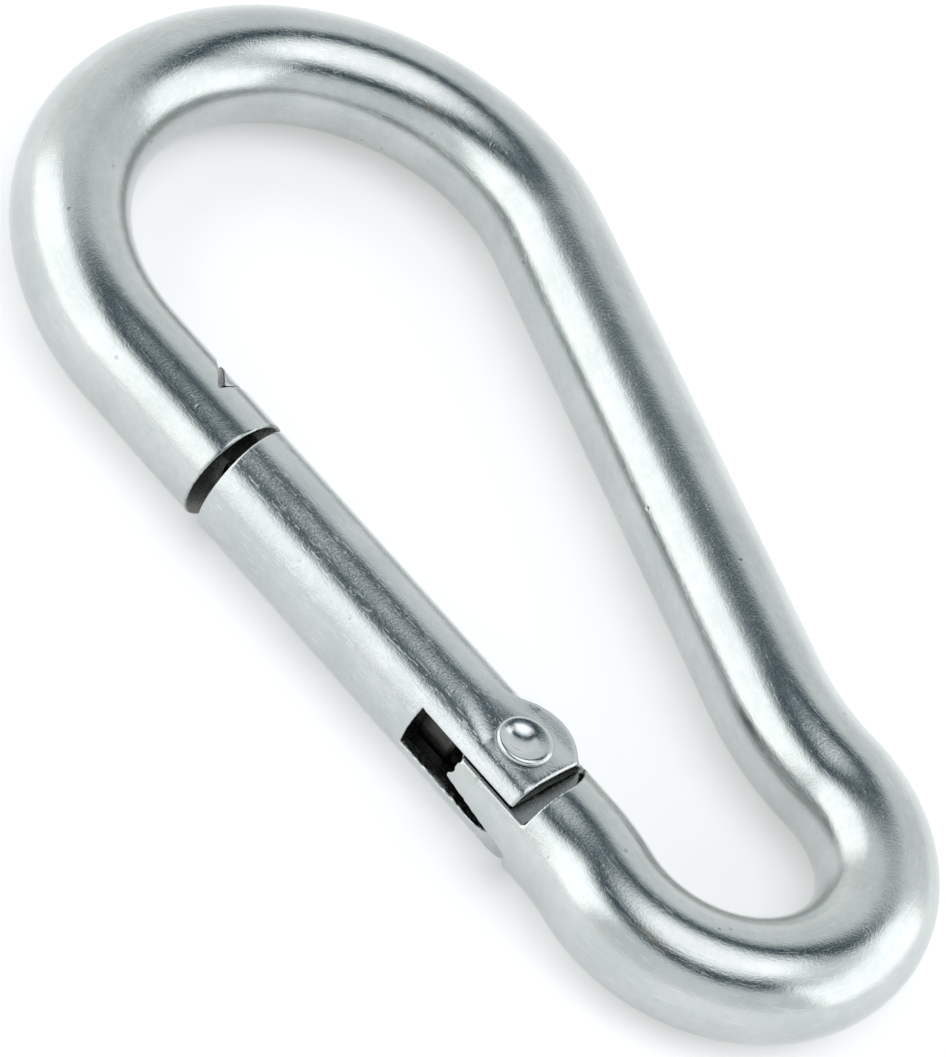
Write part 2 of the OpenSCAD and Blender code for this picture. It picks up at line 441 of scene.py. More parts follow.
def plate_colour(w, marks, cut, light, dark, cut_and_shade_tone):
    """Cloudy plate with dark pits and bright nicks, and duller and darker where it is cut; that
    darkness is partly painted shade.
    """
    clouds = w.times(marks["clouds"], CLOUD_SHARE)
    tone = w.plus(clouds, w.times(marks["mottle"], 1 - CLOUD_SHARE))
    plate = w.mix(w.between(tone, *TONE_RANGE), dark, light)
    plate = w.mix(w.times(marks["pits"], PIT_DARK), plate, PIT_COLOUR)
    plate = w.mix(w.times(marks["nicks"], NICK_BRIGHT), plate, NICK_COLOUR)
    # Painted shade: cut faces get a colour far darker than bare steel, so the notch, slots and
    # bore read as shaded.
    deep = (*(c * cut_and_shade_tone for c in DEEP_TINT), 1)
    shallow = (*(c * cut_and_shade_tone for c in SHALLOW_TINT), 1)
    sawn = w.mix(w.between(marks["mottle"], *SAWN_RANGE), deep, shallow)
    return w.mix(cut, plate, sawn)


def plate_roughness(w, marks, cut, gloss):
    """Grain and clouds change the gloss both ways. The other marks only dull it."""
    rough = w.plus(gloss, w.times(w.math("SUBTRACT", marks["grain"], 0.5), GRAIN_ROUGH))
    rough = w.plus(rough, w.times(w.math("SUBTRACT", marks["clouds"], 0.5), CLOUD_ROUGH))
    rough = w.plus(rough, w.times(marks["nicks"], NICK_ROUGH))
    rough = w.plus(rough, w.times(marks["specks"], SPECK_ROUGH))
    return w.plus(rough, w.times(cut, CUT_ROUGH), clamp=True)


def plate_height(w, marks, cut):
    """Height in shares of the peel. Pits and nicks go down."""
    height = w.times(marks["grain"], GRAIN_RAISED)
    for mark, share in RAISED.items():
        height = w.plus(height, w.times(marks[mark], share))
    return w.plus(height, w.times(w.times(marks["sawn"], cut), SAW_RAISED))


print("sawn faces raise their saw lines by", SAW_RAISED, "times the peel")


# %% Zinc finishes
def zinc(name, light, dark, gloss, peel, wear, cut_and_shade_tone):
    """Bright zinc plate. gloss is the base roughness, peel the depth of the orange
    peel in millimetres, wear the share of scratches and the last value how light a
    sawn or drilled face is painted, kept dark as painted shade in notches and slots."""
    material, tree, shader = new_material(name)
    w = Wires(tree)
    place = w.attribute("bar_place").outputs["Vector"]
    cut = w.attribute("cut").outputs["Fac"]
    marks = plate_marks(w, place, wear)
    colour = plate_colour(w, marks, cut, light, dark, cut_and_shade_tone)
    w.feed(colour, shader.inputs["Base Color"])
    w.feed(plate_roughness(w, marks, cut, gloss), shader.inputs["Roughness"])
    bump = w.node("ShaderNodeBump")
    bump.inputs["Distance"].default_value = peel * MM
    bump.inputs["Strength"].default_value = 1.0
    w.feed(plate_height(w, marks, cut), bump.inputs["Height"])
    w.feed(bump.outputs["Normal"], shader.inputs["Normal"])
    shader.inputs["Metallic"].default_value = 1.0
    return material


BAR_ZINC = zinc(
    "zinc_on_bar",
    light=(0.565, 0.59, 0.58, 1),
    dark=(0.50, 0.53, 0.52, 1),
    gloss=0.06,
    peel=0.013,
    wear=0.5,
    cut_and_shade_tone=0.16,
)
GATE_ZINC = zinc(
    "zinc_on_gate",
    light=(0.57, 0.59, 0.59, 1),
    dark=(0.50, 0.53, 0.53, 1),
    gloss=0.06,
    peel=0.015,
    wear=0.9,
    cut_and_shade_tone=0.12,
)
RIVET_ZINC = zinc(
    "zinc_on_rivet",
    light=(0.62, 0.64, 0.64, 1),
    dark=(0.55, 0.58, 0.57, 1),
    gloss=0.08,
    peel=0.010,
    wear=0.3,
    cut_and_shade_tone=0.3,
)
# Painted shade: the plunger's colour is near black, so it reads as shaded inside the bore.
PLUNGER_STEEL_PAINTED_SHADE = zinc(
    "turned_plunger_steel_painted_shade",
    light=(0.09, 0.09, 0.085, 1),
    dark=(0.05, 0.05, 0.045, 1),
    gloss=0.36,
    peel=0.02,
    wear=0.1,
    cut_and_shade_tone=0.1,
)
SPRING_WIRE = zinc(
    "drawn_spring_wire",
    light=(0.50, 0.50, 0.49, 1),
    dark=(0.36, 0.36, 0.36, 1),
    gloss=0.24,
    peel=0.012,
    wear=0.2,
    cut_and_shade_tone=0.3,
)
print("five metal finishes")

# %% [markdown]
# ## From arrays to a piece
# `build` turns corners and faces into a mesh in the frame, stores the two pattern
# values, and gives the mesh exact normals from the formula, so a quad net shades
# like the true surface.

# %% Mesh helpers
def build(name, points, faces, material, place, cut, normals=None):
    """A shown mesh object from plan points in millimetres, with its two pattern values
    and, where a formula gives them, its true normals."""
    mesh = bpy.data.meshes.new(name)
    mesh.from_pydata(to_row(points).tolist(), [], [list(map(int, f)) for f in faces])
    mesh.materials.append(material)
    store(mesh, place, cut)
    mesh.polygons.foreach_set("use_smooth", [True] * len(mesh.polygons))
    mesh.update()
    if normals is not None:
        mesh.normals_split_custom_set_from_vertices((unit_rows(normals) @ TURN.T).tolist())
    return shown(name, mesh)


def store(mesh, place, cut):
    """Keeps the pattern's place and the cut share on the mesh's corners."""
    mesh.attributes.new("bar_place", "FLOAT_VECTOR", "POINT")
    mesh.attributes["bar_place"].data.foreach_set("vector", np.asarray(place, float).ravel())
    mesh.attributes.new("cut", "FLOAT", "POINT")
    mesh.attributes["cut"].data.foreach_set("value", np.asarray(cut, float))


def volume(points, faces):
    """Signed volume of a closed mesh: above zero when its faces point outwards."""
    total = 0.0
    for f in faces:
        for i in range(1, len(f) - 1):
            total += points[f[0]] @ np.cross(points[f[i]], points[f[i + 1]])
    return total / 6


def depth_as_cut_and_shade(depth, low=0.03, high=0.12):
    """0 on the bar's own surface, 1 on faces deeper than that; deeper faces get the darker cut
    colour, partly painted shade.
    """
    share = np.clip((depth - low) / (high - low), 0, 1)
    return share * share * (3 - 2 * share)


print("a face 0.075 mm deep counts as", round(float(depth_as_cut_and_shade(0.075)), 2), "cut")

# %% [markdown]
# ## The bar, swept along its plan
# The long plain part of the loop is one sweep: a circle carried along the centre
# line. Geometry Nodes does this with Curve to Mesh. The centre line goes in as a
# string of edges, and the bar's radius and its number of sides are named inputs, so
# the same tree would sweep any bar. The nose and the hinge end are cut shapes, made
# further down and joined on, so the hook stays one closed solid as on the bench.

# %% Centre line
BAR_SIDES = 80
RING_GAP = 0.5
NOSE_JOIN = 1.0
HINGE_JOIN = 59.4


def arc(centre, radius, start, end):
    run = abs(math.radians(end - start)) * radius
    steps = max(2, round(run / RING_GAP))
    return [centre + radius * unit(a) for a in np.linspace(start, end, steps + 1)]


def straight(a, b):
    steps = max(1, round(np.linalg.norm(np.subtract(b, a)) / RING_GAP))
    return [np.add(a, np.subtract(b, a) * t) for t in np.linspace(0, 1, steps + 1)]


bow = arc(bow_c, BOW_R, 270, 90 - SPINE_TAPER)
spine_neck = arc(spine_neck_c, SPINE_NECK_R, 270 - SPINE_TAPER, eye_to + 180)
eye = arc(eye_c, EYE_R, eye_to, -90 - GATE_NECK_TURN)
gate_neck = arc(gate_neck_c, GATE_NECK_R, 90 - GATE_NECK_TURN, 90)
line = straight((NOSE_JOIN, 0), (0, 0)) + bow[1:] + straight(bow[-1], spine_neck[0])[1:]
line += spine_neck[1:] + eye[1:] + gate_neck[1:]
line += straight((GATE_SIDE_RUN, 0), (HINGE_JOIN, 0))[1:]
line = np.array(line)
gaps = np.linalg.norm(np.diff(line, axis=0), axis=1)
travelled = np.concatenate([[0], np.cumsum(gaps)])
print("centre line", len(line), "rings,", round(travelled[-1], 1), "mm long")


# %% Sweep tree
def add_socket(tree, name, kind, value=None):
    made = tree.interface.new_socket(name, in_out="INPUT", socket_type=kind)
    if value is not None:
        made.default_value = value


def add_sweep(tree, start, centre_line, radius_name, result):
    """Sweeps a circle along a curve, and ends the tree in plain, finished faces."""
    tree.interface.new_socket(result, in_out="OUTPUT", socket_type="NodeSocketGeometry")
    add = tree.nodes.new
    circle = add("GeometryNodeCurvePrimitiveCircle")
    sweep = add("GeometryNodeCurveToMesh")
    real = add("GeometryNodeRealizeInstances")
    finish = add("GeometryNodeSetMaterial")
    end = add("NodeGroupOutput")
    join = tree.links.new
    join(start.outputs[radius_name], circle.inputs["Radius"])
    join(start.outputs["Sides"], circle.inputs["Resolution"])
    join(centre_line, sweep.inputs["Curve"])
    join(circle.outputs["Curve"], sweep.inputs["Profile Curve"])
    join(sweep.outputs["Mesh"], real.inputs["Geometry"])
    join(real.outputs["Geometry"], finish.inputs["Geometry"])
    join(start.outputs["Finish"], finish.inputs["Material"])
    join(finish.outputs["Geometry"], end.inputs[result])
    return sweep


def bar_tree():
    tree = bpy.data.node_groups.new("sweep_round_bar", "GeometryNodeTree")
    add_socket(tree, "Centre line", "NodeSocketGeometry")
    add_socket(tree, "Bar radius", "NodeSocketFloat", BAR_R * MM)
    add_socket(tree, "Sides", "NodeSocketInt", BAR_SIDES)
    add_socket(tree, "Finish", "NodeSocketMaterial")
    start = tree.nodes.new("NodeGroupInput")
    curve = tree.nodes.new("GeometryNodeMeshToCurve")
    tree.links.new(start.outputs["Centre line"], curve.inputs["Mesh"])
    add_sweep(tree, start, curve.outputs["Curve"], "Bar radius", "Bar")
    return tree


def baked(source, tree, inputs):
    """The tree's result on a source object, as a plain mesh. The source goes."""
    modifier = source.modifiers.new("nodes", "NODES")
    modifier.node_group = tree
    for item in tree.interface.items_tree:
        if item.name in inputs:
            modifier[item.identifier] = inputs[item.name]
    result = source.evaluated_get(bpy.context.evaluated_depsgraph_get())
    mesh = bpy.data.meshes.new_from_object(result)
    source.modifiers.remove(modifier)
    old = source.data
    bpy.data.objects.remove(source)
    bpy.data.meshes.remove(old)
    return mesh


def line_object(name, points):
    """An object whose mesh is only a string of edges."""
    mesh = bpy.data.meshes.new(name)
    edges = [(i, i + 1) for i in range(len(points) - 1)]
    mesh.from_pydata([tuple(p) for p in points], edges, [])
    return shown(name, mesh)


def mesh_points(mesh):
    """The corners of a mesh as rows of x, y and z."""
    co = np.empty(len(mesh.vertices) * 3)
    mesh.vertices.foreach_get("co", co)
    return co.reshape(-1, 3)


path = line_object("bar_path", np.c_[line, np.zeros(len(line))] * MM)
bar_inputs = {"Bar radius": BAR_R * MM, "Sides": BAR_SIDES, "Finish": BAR_ZINC}
bar_mesh = baked(path, bar_tree(), bar_inputs)
bar_points = mesh_points(bar_mesh) / MM
bar_faces = [list(p.vertices) for p in bar_mesh.polygons]
bpy.data.meshes.remove(bar_mesh)
print("swept bar:", len(bar_points), "corners,", len(bar_faces), "faces")

# %% [markdown]
# The sweep comes back ring by ring. Each corner's place on the straightened bar is
# its ring's travelled length and its offset across the bar. The normals come from
# the same offset, so they are exactly those of a round bar.

# %% Place on the bar
ring = np.arange(len(bar_points)) // BAR_SIDES
heading = np.gradient(line, axis=0)
heading /= np.linalg.norm(heading, axis=1, keepdims=True)
side = np.c_[-heading[:, 1], heading[:, 0]]
offset = bar_points[:, :2] - line[ring]
bar_across = (offset * side[ring]).sum(1)
bar_place = np.c_[travelled[ring], bar_across, bar_points[:, 2]]
bar_normal = np.c_[side[ring] * bar_across[:, None], bar_points[:, 2]]
print("ring error", round(float(np.abs((offset * heading[ring]).sum(1)).max()), 4), "mm")

# %% [markdown]
# ## The nose
# The nose is the bar's free end. A wedge-shaped notch is milled across it from the
# inside, with one steep flank that takes the pull and one flank at 45 degrees that
# guides the gate's head in. A slot lets the blade behind that head pass. The end is
# sawn square.

# %% Nose field
NOSE_X = 14.5
NOTCH_X = 9.2
NOTCH_Y = 0.6
BEARING_LEAN = 9.4
GUIDE_LEAN = 45.0
NOSE_SLOT_HALF = 1.8
NOSE_SLOT_X = NOTCH_X - 1
NOSE_SLOT_Y = -1.5
NOSE_EDGE = 0.3
NOTCH_EDGE = 0.16
NOTCH_FLOOR = 0.3
BAR_WANDER = 0.012
BAR_WAVE = 9
SAWN_WANDER = 0.02
SAWN_WAVE = 3


def round_bar(p, r=BAR_R):
    """Distance to a round bar along x."""
    return np.hypot(p[..., 1], p[..., 2]) - r


def flank(p, x, y, lean):
    """Distance in front of a flank that starts at (x, y) and leans from upright."""
    a = math.radians(lean)
    return (p[..., 0] - x) * math.cos(a) - (p[..., 1] - y) * math.sin(a)


def notch(p, bearing=0.0, guide=0.0):
    """The wedge between the two flanks, each moved in by a gap."""
    right = flank(p, NOTCH_X, NOTCH_Y, BEARING_LEAN) + bearing
    left = -flank(p, NOTCH_X, NOTCH_Y, -GUIDE_LEAN) + guide
    return smax(right, left, NOTCH_FLOOR)


def nose_field(p):
    x, y, z = p[..., 0], p[..., 1], p[..., 2]
    solid = round_bar(p) + BAR_WANDER * ripple(p, 4, BAR_WAVE)
    solid = smax(solid, x - NOSE_X - SAWN_WANDER * ripple(p, 5, SAWN_WAVE), NOSE_EDGE)
    solid = smax(solid, -notch(p), NOTCH_EDGE)
    slot = np.maximum(NOSE_SLOT_X - x, NOSE_SLOT_Y - y)
    slot = np.maximum(slot, np.abs(z) - NOSE_SLOT_HALF)
    return smax(solid, -slot, NOTCH_EDGE)


NET = 0.18
MARGIN = 0.6
NOSE_NET_GAP = 0.4
reach = BAR_R + MARGIN
nose_low = (NOSE_JOIN + NOSE_NET_GAP, -reach, -reach)
nose_high = (NOSE_X + MARGIN, reach, reach)
nose_points, nose_faces = skin(nose_field, nose_low, nose_high, NET)
print("nose:", len(nose_points), "corners")

# %% [markdown]
# ## The hinge end
# Past the narrow bow the bar is flattened into a tang, milled from both faces. The
# tang has a round end that the plunger pushes on, set off the rivet's axis like a
# cam, and a straight, slightly ragged heel on the outside. Its lower face rises
# towards the tip, so the tang gets thinner there. The step at the end of the milled
# faces is an arc about the rivet, which leaves room for the gate's ears to swing.

# %% Hinge field
SLOT_Z = 1.0
SLOT_W = 4.2
SLOT_TOP = SLOT_Z + SLOT_W / 2
SLOT_BOTTOM = SLOT_Z - SLOT_W / 2
TANG_TOP = SLOT_TOP - 0.2
TANG_ROOT_BOTTOM = -0.75
TANG_TIP_BOTTOM = 0.7
TANG_TIP_X = 49.5
TANG_ROOT_X = 57.8
CAM_Y = 1.5
CAM_R = 4.2
HEEL = 2.5
SHOULDER_R = 5.85
INNER_SHOULDER = 4.3
PIN_R = 1.9
PIN_PLAY = 0.05
CUT_EDGE = 0.14
SHOULDER_EDGE = 0.16
STEP_FILLET = 0.3
HEEL_FILLET = 0.5
HEEL_RAGGED = 0.5
HEEL_CRUMB = 0.7
RAGGED_FROM = -2.5


def about_pivot(p, y=0.0):
    """Plan distance to the rivet's axis, or to one beside it at height y."""
    return np.hypot(p[..., 0] - PIVOT_X, p[..., 1] - y)


def ear_room(p):
    """Plan distance to the room in which the ears swing."""
    x, y = p[..., 0] - PIVOT_X, p[..., 1]
    outer = np.maximum(x - SHOULDER_R, y)
    inner = np.maximum(x - INNER_SHOULDER, -y)
    return np.minimum(np.minimum(about_pivot(p) - SHOULDER_R, outer), inner)


def tang_bottom(p):
    """Height of the tang's lower face, which rises a little towards the tip."""
    share = np.clip((TANG_ROOT_X - p[..., 0]) / (TANG_ROOT_X - TANG_TIP_X), 0, 1)
    return TANG_ROOT_BOTTOM + share * (TANG_TIP_BOTTOM - TANG_ROOT_BOTTOM)


def tang_end(p):
    """Plan distance to the cam and its heel. The heel's corner is left ragged."""
    x, y = p[..., 0] - PIVOT_X, p[..., 1]
    ragged = HEEL_RAGGED * ripple(p, 11, HEEL_CRUMB) * np.clip(RAGGED_FROM - y, 0, 1)
    heel = np.maximum(np.maximum(-HEEL - x + ragged, y - CAM_Y), x)
    return smin(about_pivot(p, CAM_Y) - CAM_R, heel, HEEL_FILLET)


def hinge_field(p):
    x, z = p[..., 0], p[..., 2]
    solid = round_bar(p) + BAR_WANDER * ripple(p, 6, BAR_WAVE)
    room = ear_room(p)
    solid = smax(solid, -smax(room, TANG_TOP - z, STEP_FILLET), SHOULDER_EDGE)
    solid = smax(solid, -smax(room, z - tang_bottom(p), STEP_FILLET), SHOULDER_EDGE)
    solid = smax(solid, np.minimum(PIVOT_X - x, tang_end(p)), CUT_EDGE)
    return smax(solid, PIN_R + PIN_PLAY - about_pivot(p), CUT_EDGE)


HINGE_NET_GAP = 0.3
hinge_low = (PIVOT_X - CAM_R - MARGIN, -reach, -reach)
hinge_high = (HINGE_JOIN - HINGE_NET_GAP, reach, reach)
hinge_points, hinge_faces = skin(hinge_field, hinge_low, hinge_high, NET)
print("hinge end:", len(hinge_points), "corners")

# %% [markdown]
# ## One closed hook
# Each net ends in an open ring a few tenths of a millimetre short of the sweep. The
# rings are bridged, which gives one closed solid. The pattern values carry on across
# the joints, because both nets count their length along the same bar.

# %% Join the hook
JOIN_NEAR = 2
JOIN_WIDE = 8
TANG_SHARE = 0.62


def open_edges(bm):
    return [e for e in bm.edges if e.is_boundary]


def bridge_ends(bm, centre_x):
    """Joins the open rings that lie near one place on the gate line."""
    near = [
        e
        for e in open_edges(bm)
        if all(abs(v.co.x - centre_x) < JOIN_NEAR and abs(v.co.y) < JOIN_WIDE for v in e.verts)
    ]
    bmesh.ops.bridge_loops(bm, edges=near)


def joined_hook():
    """Corners and faces of the whole hook, and how many edges are left open."""
    counts = [len(bar_points), len(nose_points), len(hinge_points)]
    points = np.concatenate([bar_points, nose_points, hinge_points])
    shift = np.cumsum([0] + counts)
    faces = bar_faces + (nose_faces + shift[1]).tolist() + (hinge_faces + shift[2]).tolist()
    bm = bmesh.new()
    corners = [bm.verts.new(p) for p in points]
    for f in faces:
        bm.faces.new([corners[i] for i in f])
    bm.verts.index_update()
    bridge_ends(bm, NOSE_JOIN)
    bridge_ends(bm, HINGE_JOIN)
    left = len(open_edges(bm))
    bmesh.ops.recalc_face_normals(bm, faces=bm.faces)
    bm.verts.index_update()
    all_faces = [[v.index for v in f.verts] for f in bm.faces]
    bm.free()
    return points, all_faces, left


hook_points, hook_faces, holes = joined_hook()
if volume(hook_points, hook_faces) < 0:
    hook_faces = [f[::-1] for f in hook_faces]
print("bent bar:", len(hook_faces), "faces,", holes, "open edges")

# %% Finish the hook
nose_place = nose_points * [-1, -1, 1] + [NOSE_JOIN, 0, 0]
hinge_place = (hinge_points - [HINGE_JOIN, 0, 0]) * [-1, -1, 1] + [travelled[-1], 0, 0]
hook_place = np.concatenate([bar_place, nose_place, hinge_place])
hook_normals = np.concatenate(
    [bar_normal, slope(nose_field, nose_points), slope(hinge_field, hinge_points)]
)
# Sawn faces below the round bar get the duller, darker cut colour; the darkness is partly
# painted shade in the notch and slots.
hook_cut_and_shade = np.concatenate(
    [
        np.zeros(len(bar_points)),
        depth_as_cut_and_shade(-round_bar(nose_points)),
        TANG_SHARE * depth_as_cut_and_shade(-round_bar(hinge_points)),
    ]
)
hook = build("bent_bar", hook_points, hook_faces, BAR_ZINC, hook_place, hook_cut_and_shade, hook_normals)
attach(hook, "hook")
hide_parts("hook_body")
print("sawn share of the hook's corners:", round(float((hook_cut_and_shade > 0.5).mean()), 2))

# %% [markdown]
# ## The gate
# The gate is a short round rod, a hair thinner than the bar. It is drilled from the hinge
# end for the spring, and slotted across so that two ears are left, one above and one
# below the tang. The lower ear is a little longer. Both are pressed flat out to their
# ends, with a short ramp where the flat begins, which swells the inner side into a
# round pad under the rivet's head. At the nose end a blade with a wedge-shaped head
# is left standing, and the end face slants a little, so it clears the nose as it
# opens.

# %% Gate tube
GATE_R = 5.44
END_GAP = 0.2
END_SLANT = 7.4
END_EDGE = 0.3
BORE_R = 3.3
BORE_X = 26.0
EAR_REACH = 4.0
LOW_EAR_REACH = 5.2
EAR_SWEEP_R = 5.7
SLOT_REACH = 8.0
PAD_R = 5.05
PAD_EDGE = 0.5
SEAT_Z = 4.8
SEAT_START = 50.0
SEAT_RAMP = 0.2
SEAT_EDGE = 0.6
GATE_WAVE = 8
FAR_OFF = 2 * BAR_R


def gate_tube(p):
    """The rod with its slanted end, rounded ears and swollen pad."""
    x, y, z = p[..., 0], p[..., 1], p[..., 2]
    solid = round_bar(p, GATE_R) + BAR_WANDER * ripple(p, 8, GATE_WAVE)
    pad = smax(about_pivot(p) - PAD_R, np.abs(z) - SEAT_Z, PAD_EDGE)
    solid = smin(solid, np.maximum(pad, -y), PAD_EDGE)
    slant = math.radians(END_SLANT)
    face_x = NOSE_X + END_GAP + BAR_R * math.tan(slant)
    face = -(x - face_x) * math.cos(slant) - y * math.sin(slant)
    solid = smax(solid, face, END_EDGE)
    past = np.minimum(x - PIVOT_X, about_pivot(p) - EAR_SWEEP_R)
    past = np.minimum(past, np.where(z > SLOT_Z, y, FAR_OFF))
    ear_end = x - PIVOT_X - np.where(z > SLOT_Z, EAR_REACH, LOW_EAR_REACH)
    return smax(solid, smax(ear_end, past, END_EDGE), END_EDGE)


print("the gate is", round(PIVOT_X + EAR_REACH - NOSE_X - END_GAP, 1), "mm long on top")

# %% Gate head
BLADE_HALF = 1.6
BLADE_GAP = 0.3
BLADE_TOP = 3.2
BLADE_ROOT = 3.5
BEARING_GAP = 0.25
GUIDE_GAP = 0.6
HEAD_INSET = 0.1
HEAD_EDGE = 0.2
HEAD_FILLET = 0.15


def gate_head(p):
    """The blade and the wedge-shaped head at the nose end."""
    x, y, z = p[..., 0], p[..., 1], p[..., 2]
    low = NOSE_SLOT_X + BLADE_GAP - x
    blade = np.maximum(np.maximum(low, x - NOSE_X - BLADE_ROOT), np.abs(z) - BLADE_HALF)
    blade_edge = np.maximum(NOSE_SLOT_Y + BLADE_GAP - y, y - BLADE_TOP)
    blade = smax(blade, blade_edge, CUT_EDGE)
    wedge = notch(p, BEARING_GAP, GUIDE_GAP)
    head = smax(wedge, round_bar(p, GATE_R - HEAD_INSET), HEAD_EDGE)
    return smin(head, blade, HEAD_FILLET)


print("the head is", GUIDE_GAP, "mm clear of its guide flank")

# %% Gate field
SLOT_RAGGED = 0.17
SLOT_CRUMB = 0.8
GATE_FILLET = 0.12


def gate_field(p):
    """The tube with its seats, bore, ragged slot and rivet hole, and its head."""
    x, z = p[..., 0], p[..., 2]
    seat = np.abs(z) - SEAT_Z - SEAT_RAMP * np.maximum(SEAT_START - x, 0)
    solid = smax(gate_tube(p), seat, SEAT_EDGE)
    solid = smax(solid, -np.maximum(round_bar(p, BORE_R), BORE_X - x), CUT_EDGE)
    rim = np.clip(1 + round_bar(p, GATE_R), 0, 1) * (z < SLOT_Z)
    ragged = SLOT_RAGGED * (ripple(p, 21, SLOT_CRUMB) - 1) * rim
    slot = np.maximum(np.abs(z - SLOT_Z) - SLOT_W / 2 + ragged, PIVOT_X - SLOT_REACH - x)
    solid = smax(solid, -slot, CUT_EDGE)
    solid = smax(solid, PIN_R - about_pivot(p), CUT_EDGE)
    return smin(solid, gate_head(p), GATE_FILLET)


gate_low = (NOTCH_X - BAR_R - MARGIN, -reach, -reach)
gate_high = (PIVOT_X + LOW_EAR_REACH + MARGIN, reach, reach)
gate_points, gate_faces = skin(gate_field, gate_low, gate_high, NET)
print("gate:", len(gate_faces), "faces")

# %% [markdown]
# The gate's pattern starts far along the plate, so it doesn't repeat the bar's. The
# pressed seats and the lower ear's end keep the bright plate. The faces round the
# head get only half of the cut share, so they are half as dull and dark as the
# slot's, with less painted shade.

# %% Finish the gate
GATE_PATTERN = [300, 0, 0]
EAR_FROM = 1.0
SEAT_BRIGHT = 0.3
EAR_BRIGHT = 0.12
HEAD_SHARE = 0.5
DULL_FROM = 0.06
DULL_TO = 0.25
gate_place = gate_points * [-1, -1, 1] + GATE_PATTERN
between_seats = np.abs(gate_points[:, 2]) < SEAT_Z - SEAT_BRIGHT
gate_depth = -round_bar(gate_points, GATE_R) * between_seats
past_rivet = gate_points[:, 0] > PIVOT_X + EAR_FROM
low_end = past_rivet & (gate_points[:, 2] < SLOT_BOTTOM - EAR_BRIGHT)
gate_depth[low_end] = 0
# Faces below the tube's skin get the duller, darker cut colour; the darkness is partly painted
# shade in the slot, bore and rivet hole.
gate_cut_and_shade = depth_as_cut_and_shade(gate_depth, DULL_FROM, DULL_TO)
gate_cut_and_shade[gate_points[:, 0] < NOSE_X + BLADE_ROOT] *= HEAD_SHARE
gate_normals = slope(gate_field, gate_points)
gate = build("gate_tube", gate_points, gate_faces, GATE_ZINC, gate_place, gate_cut_and_shade, gate_normals)
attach(gate, "gate_arm")
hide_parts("gate")
print("sawn share of the gate's corners:", round(float((gate_cut_and_shade > 0.5).mean()), 2))

# %% [markdown]
# ## Turned pieces
# The rivet and the plunger are round about one axis, so they are lathed: a profile
# of radius and height is turned in even steps. The profile's corners are close
# together where an edge is rounded. `turned` closes both poles with a fan of
# triangles.

# %% Lathe
def rounded_profile(corners, radius=0.12, steps=4):
    """Replaces each inner corner of a profile by a short arc-like curve."""
    corners = np.array(corners, float)
    made = [corners[0]]
    for before, at, after in zip(corners, corners[1:], corners[2:]):
        back, on = before - at, after - at
        cut = min(radius, 0.45 * np.linalg.norm(back), 0.45 * np.linalg.norm(on))
        a = at + back / np.linalg.norm(back) * cut
        b = at + on / np.linalg.norm(on) * cut
        for t in np.linspace(0, 1, steps + 1):
            made.append((1 - t) ** 2 * a + 2 * t * (1 - t) * at + t**2 * b)
    made.append(corners[-1])
    return np.array(made)


def turned(profile, sides):
    """Corners and faces of a profile of (radius, height) turned about an axis. The
    first and last profile points lie on the axis."""
    rings = profile[1:-1]
    angles = 2 * math.pi * np.arange(sides) / sides
    round_part = [[r * math.cos(a), r * math.sin(a), h] for r, h in rings for a in angles]
    points = np.array([[0, 0, profile[0][1]]] + round_part + [[0, 0, profile[-1][1]]])
    faces = []
    for j in range(sides):
        n = (j + 1) % sides
        faces.append([0, 1 + n, 1 + j])
        for i in range(len(rings) - 1):
            a, b = 1 + i * sides, 1 + (i + 1) * sides
            faces.append([a + j, a + n, b + n, b + j])
        top = 1 + (len(rings) - 1) * sides
        faces.append([top + j, top + n, len(points) - 1])
    return points, faces


print("lathe ready")

# %% [markdown]
# ## The rivet
# The rivet's ends are upset with an orbital tool. That leaves a round collar and a
# smooth dish in its middle, never quite in the centre, and a hairline of shadow
# where the collar curls clear of the seat. The lower head is its mirror image.

# %% Rivet
RIVET_SIDES = 96
RIVET_PATTERN = [0, 0, 40]
SHANK_HALF = 2.0
HEAD_R = 2.62
HEAD_TOP = SEAT_Z + 0.7
COLLAR = 0.3
COLLAR_FLAT = 0.7
DISH_R = 1.5
DISH_FLOOR = 0.5
DISH_DEPTH = 0.44
DISH_SHIFT = np.array([-0.29, -0.31])
HAMMERED = 0.015
HAMMER_WAVE = 2.0
head = [
    (PIN_R, SHANK_HALF),
    (PIN_R, SEAT_Z + 0.03),
    (HEAD_R - COLLAR, SEAT_Z + 0.1),
    (HEAD_R, SEAT_Z + 0.22),
    (HEAD_R, SEAT_Z + 0.5),
    (HEAD_R - COLLAR, HEAD_TOP),
    (HEAD_R - COLLAR_FLAT, HEAD_TOP - 0.03),
    (DISH_R, HEAD_TOP - 0.1),
    (DISH_R - DISH_FLOOR, HEAD_TOP - 0.32),
    (DISH_FLOOR, HEAD_TOP - 0.42),
    (0, HEAD_TOP - DISH_DEPTH),
]
lower = [(r, -z) for r, z in reversed(head)]
rivet_profile = rounded_profile(lower + head, COLLAR, 5)
rivet_points, rivet_faces = turned(rivet_profile, RIVET_SIDES)
rivet_r = np.hypot(rivet_points[:, 0], rivet_points[:, 1])
share = np.clip((HEAD_R - rivet_r) / (HEAD_R - DISH_R), 0, 1)
share = np.where(np.abs(rivet_points[:, 2]) > SEAT_Z, share, 0)
rivet_points[:, :2] += DISH_SHIFT * share[:, None]
rivet_points[:, 2] += HAMMERED * ripple(rivet_points, 31, HAMMER_WAVE)
no_cut = np.zeros(len(rivet_points))
rivet_place = rivet_points + RIVET_PATTERN
rivet_at = rivet_points + [PIVOT_X, 0, 0]
rivet = build("rolled_rivet", rivet_at, rivet_faces, RIVET_ZINC, rivet_place, no_cut)
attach(rivet, "gate_arm")
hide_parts("hinge_rivet")
print("rivet:", len(rivet_faces), "faces, volume", round(volume(rivet_points, rivet_faces), 1))
